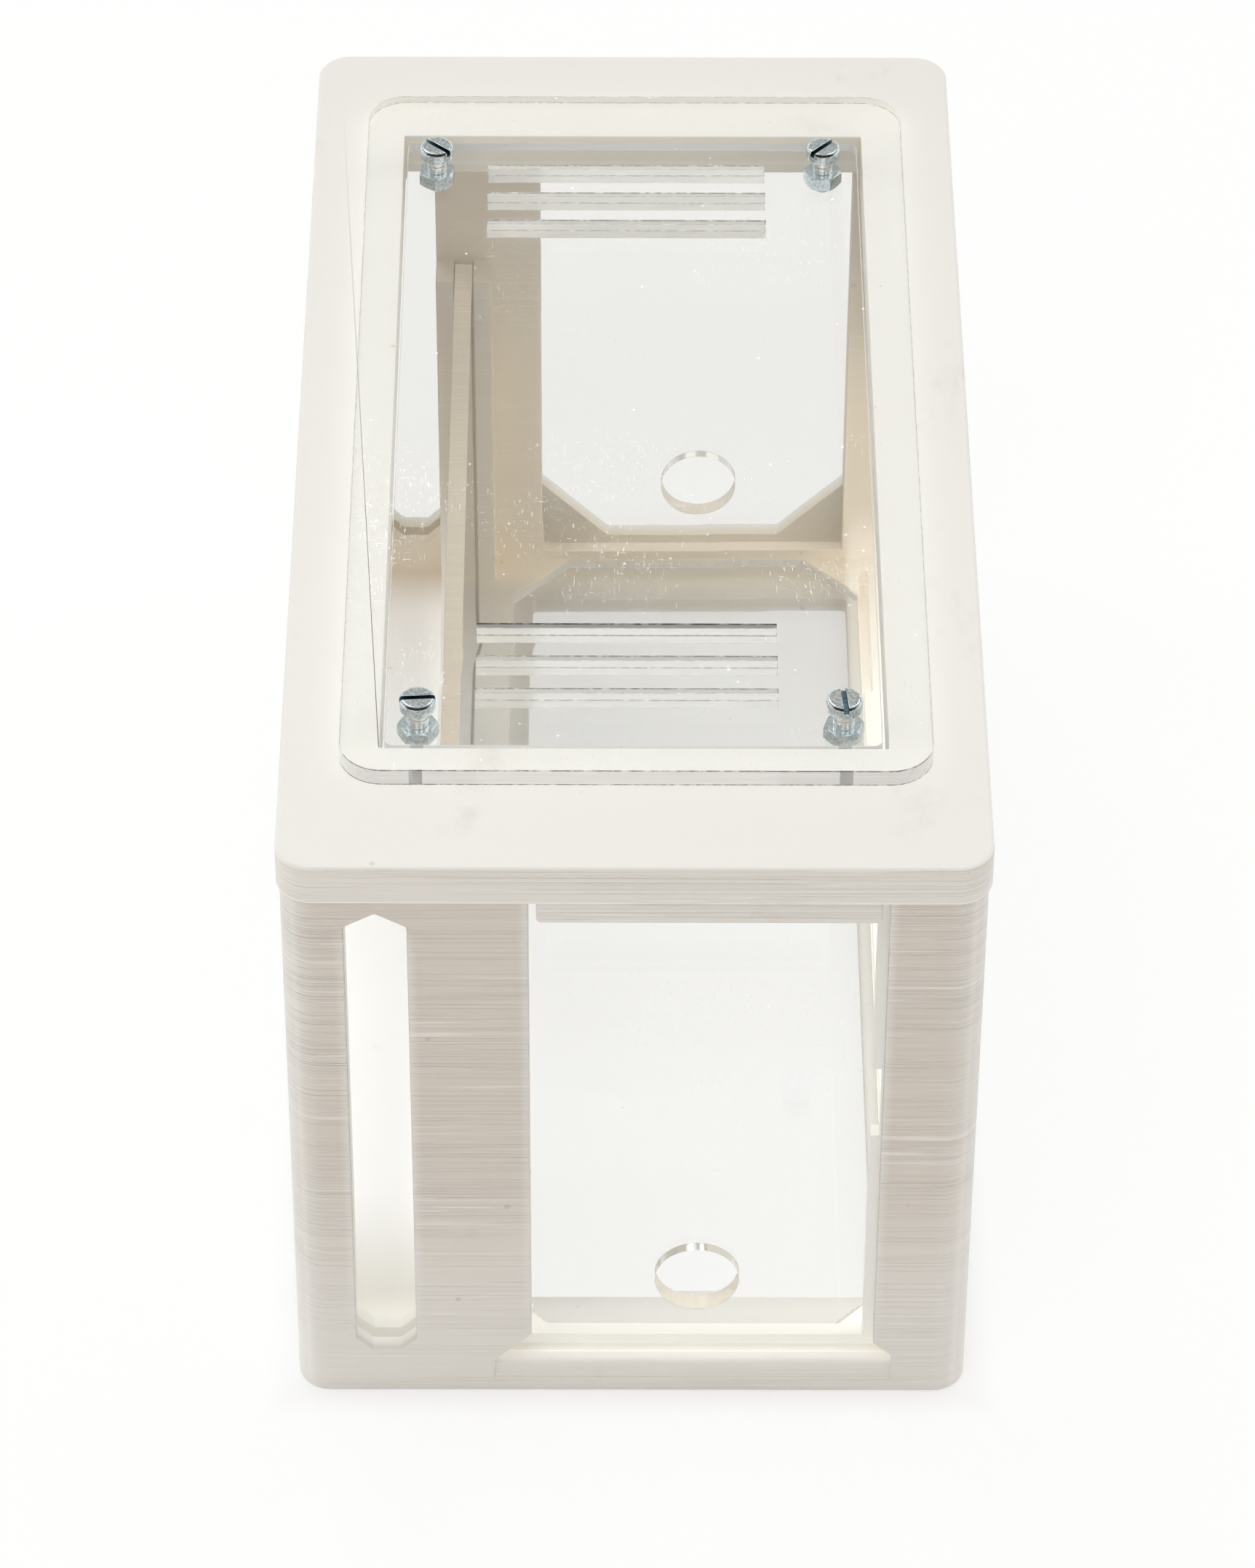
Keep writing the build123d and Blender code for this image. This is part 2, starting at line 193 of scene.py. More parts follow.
class Graph:
    """The node tree of one material or world."""

    def __init__(self, tree: bpy.types.NodeTree) -> None:
        """Empties a tree and takes it over.

        Args:
            tree: the tree to build in.
        """
        self.tree = tree
        tree.nodes.clear()

    def node(
        self,
        kind: str,
        settings: dict[str, object] | None = None,
        inputs: dict[object, object] | None = None,
    ) -> bpy.types.Node:
        """Adds a node.

        Args:
            kind: the node's type.
            settings: its properties, set first.
            inputs: the values or links of its sockets, by name or number.

        Returns:
            The node.
        """
        made = self.tree.nodes.new(kind)
        for name, value in (settings or {}).items():
            setattr(made, name, value)
        for name, value in (inputs or {}).items():
            if isinstance(value, Field):
                value = value.socket
            if isinstance(value, bpy.types.NodeSocket):
                self.tree.links.new(value, made.inputs[name])
            else:
                made.inputs[name].default_value = value
        return made

    def value(
        self,
        kind: str,
        settings: dict[str, object] | None = None,
        inputs: dict[object, object] | None = None,
        output: object = 0,
    ) -> Field:
        """Adds a node and wraps one of its outputs.

        Args:
            kind: the node's type.
            settings: its properties.
            inputs: the values or links of its sockets.
            output: name or number of the output.

        Returns:
            The output as a field.
        """
        return Field(self, self.node(kind, settings, inputs).outputs[output])

    def mix(self, share: object, first: object, second: object) -> bpy.types.NodeSocket:
        """Mixes two colours.

        Args:
            share: 0 for all first, 1 for all second.
            first: first colour.
            second: second colour.

        Returns:
            The mixed colour's socket.
        """
        made = self.node(
            "ShaderNodeMix", {"data_type": "RGBA"}, {0: share, 6: first, 7: second}
        )
        return made.outputs[2]

    def shader_mix(self, share: object, first: object, second: object) -> bpy.types.NodeSocket:
        """Mixes two shaders.

        Args:
            share: 0 for all first, 1 for all second.
            first: first shader's socket.
            second: second shader's socket.

        Returns:
            The mixed shader's socket.
        """
        return self.node("ShaderNodeMixShader", None, {0: share, 1: first, 2: second}).outputs[0]

    def surface(self, inputs: dict[str, object]) -> bpy.types.NodeSocket:
        """Adds a Principled shader.

        Args:
            inputs: the values or links of its sockets, by name.

        Returns:
            The shader's socket.
        """
        return self.node("ShaderNodeBsdfPrincipled", None, inputs).outputs[0]

    def light(self, colour: object, strength: float = 1.0) -> bpy.types.NodeSocket:
        """Adds a Background shader.

        Args:
            colour: its colour.
            strength: its strength.

        Returns:
            The shader's socket.
        """
        return self.node(
            "ShaderNodeBackground", None, {"Color": colour, "Strength": strength}
        ).outputs[0]

    def bump(self, height: Field, depth: float) -> bpy.types.NodeSocket:
        """Turns a height into a normal.

        Args:
            height: the height, of about 0 to 1.
            depth: how deep a height of 1 is.

        Returns:
            The normal's socket.
        """
        return self.node(
            "ShaderNodeBump", None, {"Strength": 1.0, "Distance": depth, "Height": height}
        ).outputs[0]

    def place(self) -> bpy.types.NodeSocket:
        """Gives the object coordinates, which are the frame's, in metres."""
        return self.node("ShaderNodeTexCoord").outputs["Object"]

    def parts(self, vector: bpy.types.NodeSocket) -> list[Field]:
        """Splits a vector into its X, Y and Z.

        Args:
            vector: the vector's socket.

        Returns:
            The three parts as fields.
        """
        made = self.node("ShaderNodeSeparateXYZ", None, {0: vector})
        return [Field(self, part) for part in made.outputs]

    def cells(
        self, scale: Triple, turn: Triple = (0.0, 0.0, 0.0), shift: Triple = (0.0, 0.0, 0.0)
    ) -> bpy.types.NodeSocket:
        """Scales the object coordinates, so that a pattern runs longer one way.

        Args:
            scale: how many pattern cells a metre holds, along each axis.
            turn: how far the pattern is turned, in radians.
            shift: how far it is moved, in cells.

        Returns:
            The coordinates' socket.
        """
        return self.node(
            "ShaderNodeMapping",
            None,
            {"Vector": self.place(), "Scale": scale, "Rotation": turn, "Location": shift},
        ).outputs[0]

    def noise(
        self, scale: Triple, detail: float = 2.0, roughness: float = 0.5, **moved: Triple
    ) -> Field:
        """Adds a Noise texture.

        Args:
            scale: how many cells a metre holds, along each axis.
            detail: how many finer layers are added.
            roughness: how strong those are.
            **moved: the turn and the shift of its cells.

        Returns:
            A value round 0.5.
        """
        at = self.cells(scale, **moved)
        return self.value(
            "ShaderNodeTexNoise",
            None,
            {"Vector": at, "Scale": 1.0, "Detail": detail, "Roughness": roughness},
        )

    def specks(self, scale: float, size: float, share: float, shift: float = 0.0) -> Field:
        """Scatters small round specks.

        Args:
            scale: cells of the pattern in a metre.
            size: a speck's radius, in cells.
            share: share of the cells that hold one.
            shift: moves the pattern, so that two differ.

        Returns:
            1 on a speck and 0 off it.
        """
        at = self.cells((scale,) * 3, shift=(shift,) * 3)
        found = self.node(
            "ShaderNodeTexVoronoi",
            {"feature": "F1"},
            {"Vector": at, "Scale": 1.0, "Randomness": 1.0},
        )
        lot = self.value("ShaderNodeSeparateColor", None, {0: found.outputs["Color"]})
        near = Field(self, found.outputs["Distance"]).between(size, size * 0.6)
        return near * lot.between(1.0 - share, 1.0 - share + 0.004)

    def upright(self) -> Field:
        """Gives 1 on walls and 0 on level faces."""
        normal = self.node("ShaderNodeNewGeometry").outputs["Normal"]
        return abs(self.parts(normal)[2]).between(0.8, 0.5)

    def finish(self, shader: bpy.types.NodeSocket, kind: str = "ShaderNodeOutputMaterial") -> None:
        """Sends a shader to the output.

        Args:
            shader: the shader's socket.
            kind: the output node's type.
        """
        self.node(kind, None, {"Surface": shader})


def new_material(name: str) -> tuple[bpy.types.Material, Graph]:
    """Adds a material.

    Args:
        name: the material's name.

    Returns:
        The material and its empty graph.
    """
    material = bpy.data.materials.new(name)
    material.use_nodes = True
    return material, Graph(material.node_tree)


@dataclass(frozen=True)
class SoakedLight:
    """Painted glow on the faces inside the thin walls: emission in place of light soaking through
    them.

    Each glow has a colour and the ramps that it spreads over, one for each axis that it follows.
    """

    front: Triple = (0.05, 0.044, 0.035)
    front_along: Pair = (30 * MM, -80 * MM)
    slot: Triple = (0.2, 0.198, 0.188)
    slot_along: Pair = (-81 * MM, -88 * MM)
    back: Triple = (0.08, 0.06, 0.03)
    back_along: Pair = (84 * MM, 90 * MM)
    back_height: Pair = (80 * MM, 40 * MM)
    narrow: Triple = (0.3, 0.315, 0.34)
    narrow_across: Pair = (-30 * MM, -31.5 * MM)
    narrow_height: Pair = (30 * MM, 5 * MM)
    narrow_back_end: Pair = (96 * MM, 80 * MM)
    narrow_front_end: Pair = (-90 * MM, -55 * MM)
    wall: Triple = (0.23, 0.225, 0.21)
    wall_across: Pair = (42 * MM, 44 * MM)
    wall_along: Pair = (40 * MM, -30 * MM)
    foot_across: Pair = (38 * MM, 39.5 * MM)
    foot_height: Pair = (20 * MM, 8 * MM)

    def glow(self, g: Graph, inside: Field) -> bpy.types.NodeSocket:
        """Adds up the painted glows.

        Args:
            g: the graph to build in.
            inside: the share of the faces within the walls.

        Returns:
            The glow's colour.
        """
        across, along, height = g.parts(g.place())
        narrow = across.between(*self.narrow_across) * height.between(*self.narrow_height)
        narrow = narrow * along.between(*self.narrow_back_end)
        wall = across.between(*self.wall_across) * along.between(*self.wall_along)
        foot = across.between(*self.foot_across) * height.between(*self.foot_height)
        glow = BLACK
        for share, colour in (
            (along.between(*self.front_along), self.front),
            (along.between(*self.slot_along), self.slot),
            (along.between(*self.back_along) * height.between(*self.back_height), self.back),
            (narrow * along.between(*self.narrow_front_end), self.narrow),
            (wall.most(foot), self.wall),
        ):
            glow = g.mix(share, glow, (*colour, 1))
        return g.mix(inside, BLACK, glow)


@dataclass(frozen=True)
class PrintedPlastic:
    """Ivory filament laid in fine level layers, with streaks where one layer stands out. Those
    layers and the first one get a painted highlight.

    The walls get a painted shade that grows towards the top, and the faces within them a painted
    shade towards the back.
    windows are the openings that get a painted pale light beside them: middle and half width
    across, and top.
    """

    name: str
    body: Triple = (244, 242, 237)
    line: Triple = (212, 201, 187)
    ridge: Triple = (255, 253, 249)
    pale: Triple = (246, 246, 243)
    grime: Triple = (186, 170, 146)
    inner_shade: Triple = (216, 199, 172)
    line_share: float = 0.3
    ridge_highlight_share: float = 0.55
    pale_light_share: float = 0.0
    grime_share: float = 0.2
    speck_share: float = 0.35
    inner_shade_share: float = 0.0
    top_shade: float = 0.55
    layer: float = 0.28 * MM
    depth: float = 0.09 * MM
    foot: float = 0.0
    foot_line: Pair = (0.5 * MM, 0.3 * MM)
    rise: Pair = (5 * MM, 60 * MM)
    foot_strength: float = 0.4
    inner_shade_along: Pair = (45 * MM, 98 * MM)
    inner_shade_under: Pair = (LID_TOP - 0.1 * MM, LID_TOP - 0.5 * MM)
    pale_corner: Pair = (HALF_WIDTH - 6.5 * MM, HALF_WIDTH + 0.5 * MM)
    pale_border: float = 1.8 * MM
    pale_foot: Pair = (8 * MM, 22 * MM)
    pale_head: float = 4 * MM
    inner_across: Pair = (HALF_WIDTH - 1.3 * MM, HALF_WIDTH - 2.3 * MM)
    inner_along: Pair = (HALF_DEPTH - 0.4 * MM, HALF_DEPTH - 2.5 * MM)
    inner_height: Pair = (0.4 * MM, 1.5 * MM)
    windows: tuple[Triple, ...] = ()
    painted_glow: SoakedLight | None = None

    def material(self) -> bpy.types.Material:
        """Builds the material.

        Returns:
            The material.
        """
        material, g = new_material(self.name)
        inside = self._inside(g)
        walls = g.upright() * (1 - inside * 0.75)
        height = g.parts(g.place())[2]
        rise = height.between(*self.rise)
        strength = rise * (1 - self.foot_strength) + self.foot_strength
        fine, broad, ridge, streak = self._layers(g)
        dark = fine.between(0.35, 0.7) * 0.45 + broad.between(0.35, 0.7) * 0.2 + streak * 0.6
        ridge = ridge * walls * strength
        cloud = g.noise((28, 28, 28), detail=3)
        patches = g.noise((55, 30, 55), detail=5, roughness=0.65, shift=(3.0, 1.0, 0.0))
        # the first layer, which gets a painted highlight
        foot = walls * abs(height - self.foot).between(*self.foot_line)
        colour = g.mix(cloud * 0.25, tone(*self.body), tone(*(c * 0.975 for c in self.body)))
        for share, coat in (
            # painted shade inside the walls, towards the back
            (self._inner_shade(g) * inside * self.inner_shade_share, self.inner_shade),
            # painted shade on the walls that grows towards the top, laid in the line colour
            (rise * walls * self.top_shade, self.line),
            (dark * walls * strength * self.line_share, self.line),
            # painted pale light beside the windows and at the outer corners
            (self._pale_light(g) * walls * self.pale_light_share, self.pale),
            # painted highlight on the layers that stand out and on the first layer
            ((ridge * self.ridge_highlight_share).most(foot), self.ridge),
            (patches.between(0.58, 0.8) * self.grime_share, self.grime),
            (g.specks(260, 0.16, 0.05) * self.speck_share, self.grime),
        ):
            colour = g.mix(share, colour, tone(*coat))
        grain = g.noise((1300, 1300, 1300))
        lift = (fine * 0.5 + ridge * 0.9 - streak * 0.5 + broad * 0.3) * walls + grain * 0.08
        inputs = {
            "Base Color": colour,
            "Roughness": grain * 0.12 + 0.42,
            "Normal": g.bump(lift, self.depth),
            "IOR": PRINT_IOR,
            "Specular IOR Level": 0.4,
        }
        # the faces inside the walls get a painted glow: emission in place of light soaking through
        # them
        if self.painted_glow:
            inputs |= {"Emission Color": self.painted_glow.glow(g, inside), "Emission Strength": 1.0}
        g.finish(g.surface(inputs))
        return material

    def _layers(self, g: Graph) -> tuple[Field, Field, Field, Field]:
        """Draws what the printed layers leave on a wall.

        Args:
            g: the graph to build in.

        Returns:
            Fine lines, broad bands, layers that stand out and layers that lie deep.
        """
        rate = 1 / self.layer
        fine = g.noise((22, 22, rate * 0.5), detail=3, roughness=0.75)
        broad = g.noise((7, 7, rate * 0.1))
        where = g.noise((30, 30, 60), shift=(5.0, 2.0, 8.0)).between(0.38, 0.6)
        high = g.noise((12, 12, rate * 0.4), detail=0, shift=(2.0, 7.0, 1.0))
        low = g.noise((13, 13, rate * 0.36), detail=0, shift=(9.0, 4.0, 6.0))
        ridge = abs(high - 0.55).between(0.06, 0.012) * (where * 0.75 + 0.25)
        return fine, broad, ridge, abs(low - 0.6).between(0.06, 0.01)

    def _inner_shade(self, g: Graph) -> Field:
        """Finds where the painted shade inside falls, which is towards the back and not on the
        lid's top.
        """
        _, along, height = g.parts(g.place())
        return along.between(*self.inner_shade_along) * height.between(*self.inner_shade_under)

    def _pale_light(self, g: Graph) -> Field:
        """Finds where the end walls get a painted pale light: beside the windows and at the outer
        corners.

        Args:
            g: the graph to build in.

        Returns:
            The share as a field.
        """
        across, _, height = g.parts(g.place())
        pale = abs(across).between(*self.pale_corner)
        for centre, half, top in self.windows:
            beside = abs(across - centre).between(half + self.pale_border, half) * 0.8
            beside = beside * height.between(*self.pale_foot)
            pale = pale.most(beside * height.between(top, top - self.pale_head))
        return pale

    def _inside(self, g: Graph) -> Field:
        """Gives 1 on the faces within the housing's walls and 0 on the outer ones.

        Args:
            g: the graph to build in.

        Returns:
            The share as a field.
        """
        across, along, height = g.parts(g.place())
        within = abs(across).between(*self.inner_across) * abs(along).between(*self.inner_along)
        return within * height.between(*self.inner_height)


@dataclass(frozen=True)
class ClearSheet:
    """Polished faces of cast acrylic, with a few hair scratches and specks of dust, which carry a
    painted glint.

    The scratches crowd round worn_at, a place along Y.
    """

    name: str
    tint: Triple = (253, 253, 252)
    mark: Triple = (252, 252, 252)
    mark_glint: Triple = (0.3, 0.3, 0.3)
    dust_share: float = 0.014
    scratch: float = 0.5
    worn_at: float = -30 * MM
    worn_reach: Pair = (32 * MM, 12 * MM)

    def material(self) -> bpy.types.Material:
        """Builds the material.

        Returns:
            The material.
        """
        material, g = new_material(self.name)
        hairs = g.noise((3600, 520, 3600), detail=1, turn=(0.0, 0.0, 0.2)).between(0.68, 0.76)
        cross = g.noise((640, 4200, 4200), detail=1, turn=(0.0, 0.0, 0.7)).between(0.7, 0.78)
        along = g.parts(g.place())[1]
        near = abs(along - self.worn_at).between(*self.worn_reach) * 0.8 + 0.2
        marks = (hairs + cross) * g.noise((34, 34, 34), detail=3).between(0.46, 0.62) * near
        dust = g.specks(700, 0.2, self.dust_share) + g.specks(330, 0.1, self.dust_share * 0.4, 7.3)
        clear = g.surface(
            {
                "Base Color": tone(*self.tint),
                "Roughness": 0.0,
                "IOR": ACRYLIC_IOR,
                "Transmission Weight": 1.0,
            }
        )
        # the marks carry a painted glint: emission that makes them bright as if lit
        mark = g.surface(
            {
                "Base Color": tone(*self.mark),
                "Emission Color": (*self.mark_glint, 1),
                "Emission Strength": 1.0,
                "Roughness": 0.8,
            }
        )
        seen = g.shader_mix((marks * self.scratch + dust * 0.55).least(0.6), clear, mark)
        g.finish(let_light_through(g, seen))
        return material


def let_light_through(g: Graph, seen: bpy.types.NodeSocket) -> bpy.types.NodeSocket:
    """Lets the lamps light what stands behind a clear sheet.

    Args:
        g: the sheet's graph.
        seen: the shader that the sheet shows.

    Returns:
        The shader's socket.
    """
    rays = g.node("ShaderNodeLightPath")
    clear = g.node("ShaderNodeBsdfTransparent", None, {"Color": (0.975, 0.975, 0.975, 1.0)})
    return g.shader_mix(rays.outputs["Is Shadow Ray"], seen, clear.outputs[0])


@dataclass(frozen=True)
class CutEdge:
    """Laser-cut rim of a clear sheet: frosted, with striations across its thickness, and a painted
    glow in the frost.

    Where windows are given, the front half's rim is clearer near each of those places along X.
    Each of the lines is a grey one at a height, with half its thickness.
    """

    name: str
    across: Axis
    tint: Triple = (250, 250, 249)
    frost: Triple = (246, 246, 243)
    line: Triple = (120, 116, 108)
    haze: float = 0.5
    glow: Triple = (0.12, 0.115, 0.105)
    line_glow: Triple = (0.02, 0.02, 0.02)
    back_glow: Triple | None = None
    back_along: Pair = (78 * MM, 82 * MM)
    windows: tuple[float, ...] = ()
    window_half: float = 1.1 * MM
    lines: tuple[Pair, ...] = ()
    depth: float = 0.02 * MM
    rays_across: float = 2100.0
    rays_along: float = 45.0

    def material(self) -> bpy.types.Material:
        """Builds the material.

        Returns:
            The material.
        """
        material, g = new_material(self.name)
        scale = [self.rays_across] * 3
        scale[self.across.value] = self.rays_along
        rays = g.noise(tuple(scale), roughness=0.6)
        broad = g.noise(tuple(part * 0.12 for part in scale), detail=1)
        clear = g.surface(
            {
                "Base Color": tone(*self.tint),
                "Roughness": rays * 0.08 + 0.03,
                "IOR": ACRYLIC_IOR,
                "Transmission Weight": 1.0,
                "Normal": g.bump(rays * 0.5 + broad, self.depth),
            }
        )
        across, along, height = g.parts(g.place())
        frost, glow = tone(*self.frost), (*self.glow, 1)
        specks = g.noise((700, 700, 900), detail=3, roughness=0.7).between(0.3, 0.6)
        for level, half in self.lines:
            line = abs(height - level).between(half, half * 0.6) * specks
            frost = g.mix(line, frost, tone(*self.line))
            glow = g.mix(line, glow, (*self.line_glow, 1))
        # painted highlight, a brighter glow, along the back of the rim
        if self.back_glow:
            glow = g.mix(along.between(*self.back_along), glow, (*self.back_glow, 1))
        # the frost's emission is a painted glow
        matt = g.surface(
            {
                "Base Color": frost,
                "Emission Color": glow,
                "Emission Strength": 1.0,
                "Roughness": 0.7,
                "Specular IOR Level": 0.2,
            }
        )
        share = (rays.between(0.35, 0.75) * 0.1 + 0.95) * self.haze
        front = along.between(MM, 0)
        for place in self.windows:
            near = abs(across - place).between(self.window_half, self.window_half * 0.8)
            share = share * (1 - near * front * 0.55)
        g.finish(let_light_through(g, g.shader_mix(share, clear, matt)))
        return material


@dataclass(frozen=True)
class ZincPlate:
    """Blue-passivated zinc on a steel bolt."""

    name: str
    bright: Triple = (234, 242, 244)
    dull: Triple = (190, 204, 211)
    rough: float = 0.1
    depth: float = 0.0015 * MM

    def material(self) -> bpy.types.Material:
        """Builds the material.

        Returns:
            The material.
        """
        material, g = new_material(self.name)
        cloud = g.noise((2400, 2400, 2400), detail=3, roughness=0.6)
        brushed = g.noise((6000, 6000, 900))
        shader = g.surface(
            {
                "Base Color": g.mix(cloud.between(0.3, 0.65), tone(*self.dull), tone(*self.bright)),
                "Metallic": 1.0,
                "Roughness": cloud * 0.2 + self.rough,
                "Normal": g.bump(brushed + cloud, self.depth),
            }
        )
        g.finish(shader)
        return material


@contextmanager
def editing(piece: bpy.types.Object, mode: str = "FACE") -> Iterator[bmesh.types.BMesh]:
    """Opens a piece in edit mode with nothing selected.

    Args:
        piece: the mesh object.
        mode: what is selected: VERT, EDGE or FACE.

    Yields:
        The mesh being edited, to select in.
    """
    only(piece)
    bpy.ops.object.mode_set(mode="EDIT")
    bpy.ops.mesh.select_mode(type=mode)
    bpy.ops.mesh.select_all(action="DESELECT")
    yield bmesh.from_edit_mesh(piece.data)
    bpy.ops.object.mode_set(mode="OBJECT")


def only(*pieces: bpy.types.Object) -> None:
    """Selects these objects alone and makes the first the active one.

    Args:
        *pieces: the objects.
    """
    bpy.ops.object.select_all(action="DESELECT")
    for piece in pieces:
        piece.select_set(True)
    bpy.context.view_layer.objects.active = pieces[0]


def pick_faces(mesh: bmesh.types.BMesh, test: Callable[[bmesh.types.BMFace], bool]) -> None:
    """Selects the faces that pass a test, and no others.

    Args:
        mesh: the mesh being edited.
        test: says whether a face is wanted.
    """
    bpy.ops.mesh.select_all(action="DESELECT")
    for face in mesh.faces:
        if test(face):
            face.select_set(True)
    mesh.select_flush_mode()


def pick_edges(mesh: bmesh.types.BMesh, test: Callable[[bmesh.types.BMEdge], bool]) -> None:
    """Selects the edges that pass a test, and no others.

    Args:
        mesh: the mesh being edited.
        test: says whether an edge is wanted.
    """
    bpy.ops.mesh.select_all(action="DESELECT")
    for edge in mesh.edges:
        if test(edge):
            edge.select_set(True)
    mesh.select_flush_mode()


def apply_modifier(piece: bpy.types.Object, kind: str, **settings: object) -> None:
    """Adds a modifier and applies it.

    Args:
        piece: the mesh object.
        kind: the modifier's type.
        **settings: its properties.
    """
    made = piece.modifiers.new(kind.title(), kind)
    for name, value in settings.items():
        setattr(made, name, value)
    only(piece)
    bpy.ops.object.modifier_apply(modifier=made.name)


def bevel(
    piece: bpy.types.Object, width: float, segments: int, degrees: float, **settings: object
) -> None:
    """Rounds a piece's sharp edges.

    Args:
        piece: the mesh object.
        width: how wide the rounding is.
        segments: how many faces it has.
        degrees: how far an edge turns at least, to be rounded.
        **settings: the Bevel modifier's other properties.
    """
    apply_modifier(
        piece,
        "BEVEL",
        width=width,
        segments=segments,
        limit_method="ANGLE",
        angle_limit=math.radians(degrees),
        **settings,
    )


def cut(piece: bpy.types.Object, tool: bpy.types.Object, operation: str = "DIFFERENCE") -> None:
    """Cuts a piece with another one, which is used up.

    Args:
        piece: the mesh object.
        tool: the object that cuts it.
        operation: DIFFERENCE for what is outside the tool, INTERSECT for what is inside it.
    """
    apply_modifier(piece, "BOOLEAN", operation=operation, solver="EXACT", object=tool)
    bpy.data.objects.remove(tool)


def smooth(piece: bpy.types.Object, degrees: float) -> None:
    """Shades a piece smooth, apart from its sharp edges.

    Args:
        piece: the mesh object.
        degrees: how far an edge turns at least, to stay sharp.
    """
    only(piece)
    bpy.ops.object.shade_smooth_by_angle(angle=math.radians(degrees))


def settle(piece: bpy.types.Object) -> None:
    """Moves a piece's place, turn and scale into its mesh.

    Args:
        piece: the mesh object.
    """
    only(piece)
    bpy.ops.object.transform_apply(location=True, rotation=True, scale=True)


def bar(
    name: str, sides: int, radius: float, length: float, height: float, turn: float = 0.0
) -> bpy.types.Object:
    """Adds a round or many-sided bar on the Z axis.

    Args:
        name: the bar's name.
        sides: how many sides it has.
        radius: its radius, to its corners.
        length: its length.
        height: the height of its middle.
        turn: how far it is turned, in radians.

    Returns:
        The bar, with its place in its mesh.
    """
    bpy.ops.mesh.primitive_cylinder_add(
        vertices=sides,
        radius=radius,
        depth=length,
        location=(0, 0, height),
        rotation=(0, 0, turn),
    )
    made = bpy.context.object
    made.name = name
    settle(made)
    return made


def pull(way: float) -> None:
    """Extrudes the selected faces along Z, by this much."""
    bpy.ops.mesh.extrude_region_move(TRANSFORM_OT_translate={"value": (0, 0, way)})


def shrink(share: float) -> None:
    """Scales the selected faces towards the Z axis, by this share."""
    bpy.ops.transform.resize(value=(share, share, 1))


def merged_copy(node: str, name: str) -> bpy.types.Object:
    """Copies a CAD node's mesh, joins its loose triangles and drops the edges in flat faces.

    Args:
        node: the CAD node.
        name: the copy's name.

    Returns:
        The new object, at the origin.
    """
    piece = bpy.data.objects.new(name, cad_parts[node].data.copy())
    piece.data.name = name
    piece.data.materials.clear()
    bpy.context.scene.collection.objects.link(piece)
    with editing(piece):
        bpy.ops.mesh.select_all(action="SELECT")
        bpy.ops.mesh.customdata_custom_splitnormals_clear()
        bpy.ops.mesh.remove_doubles(threshold=SAME)
        bpy.ops.mesh.dissolve_limited(angle_limit=FLAT_WITHIN)
    return piece


def hand_over(piece: bpy.types.Object, node: str, body: str) -> None:
    """Makes a finished piece stand for a CAD node.

    Args:
        piece: the finished piece.
        node: the CAD node that it replaces.
        body: the CAD body that it moves with.
    """
    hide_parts(node)
    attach(piece, body)
    low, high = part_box(node)
    size = [round(side / MM, 2) for side in high - low]
    LOG.info("%s stands for %s, %s mm, %d faces", piece.name, node, size, len(piece.data.polygons))


@dataclass
class PrintedBody:
    """A printed piece: the CAD solid with the slightly soft edges that a nozzle leaves."""

    node: str
    body: str
    slot: str
    finish: PrintedPlastic
    edge_round: float = 0.22 * MM
    segments: int = 2
    rounded_above: float = 35.0
    sharp_above: float = 32.0

    def build(self) -> bpy.types.Object:
        """Builds and dresses the piece.

        Returns:
            The finished piece.
        """
        piece = merged_copy(self.node, f"{self.node}_print")
        bevel(
            piece,
            self.edge_round,
            self.segments,
            self.rounded_above,
            use_clamp_overlap=False,
            miter_outer="MITER_ARC",
        )
        # Left whole, a large face is split into thin triangles, and some of them fold over
        with editing(piece):
            bpy.ops.mesh.select_all(action="SELECT")
            bpy.ops.mesh.quads_convert_to_tris(ngon_method="BEAUTY")
        smooth(piece, self.sharp_above)
        apply_modifier(piece, "WEIGHTED_NORMAL", keep_sharp=True, weight=100)
        piece.data.materials.append(self.finish.material())
        hand_over(piece, self.node, self.body)
        return piece


@dataclass
class AcrylicSheet:
    """A laser-cut acrylic sheet with polished faces and a striated rim.

    sort says which of the rims a rim face has, by its centre; without it there is one rim.
    """

    node: str
    body: str
    slot: str
    across: Axis
    face: bpy.types.Material
    rims: tuple[bpy.types.Material, ...]
    sort: Callable[[Vector], int] | None = None
    clearance: float = 0.02 * MM
    edge_break: float = 0.06 * MM
    rounded_above: float = 35.0
    sharp_above: float = 25.0

    def build(self) -> bpy.types.Object:
        """Builds and dresses the sheet.

        Returns:
            The finished piece.
        """
        piece = merged_copy(self.node, f"{self.node}_sheet")
        with editing(piece):
            bpy.ops.mesh.select_all(action="SELECT")
            bpy.ops.transform.shrink_fatten(value=-self.clearance, use_even_offset=True)
        bevel(piece, self.edge_break, 1, self.rounded_above, use_clamp_overlap=False)
        for material in (self.face, *self.rims):
            piece.data.materials.append(material)
        for polygon in piece.data.polygons:
            flat = abs(polygon.normal[self.across.value]) > SQUARE
            rim = self.sort(polygon.center) if self.sort else 0
            polygon.material_index = 0 if flat else 1 + rim
        smooth(piece, self.sharp_above)
        hand_over(piece, self.node, self.body)
        return piece


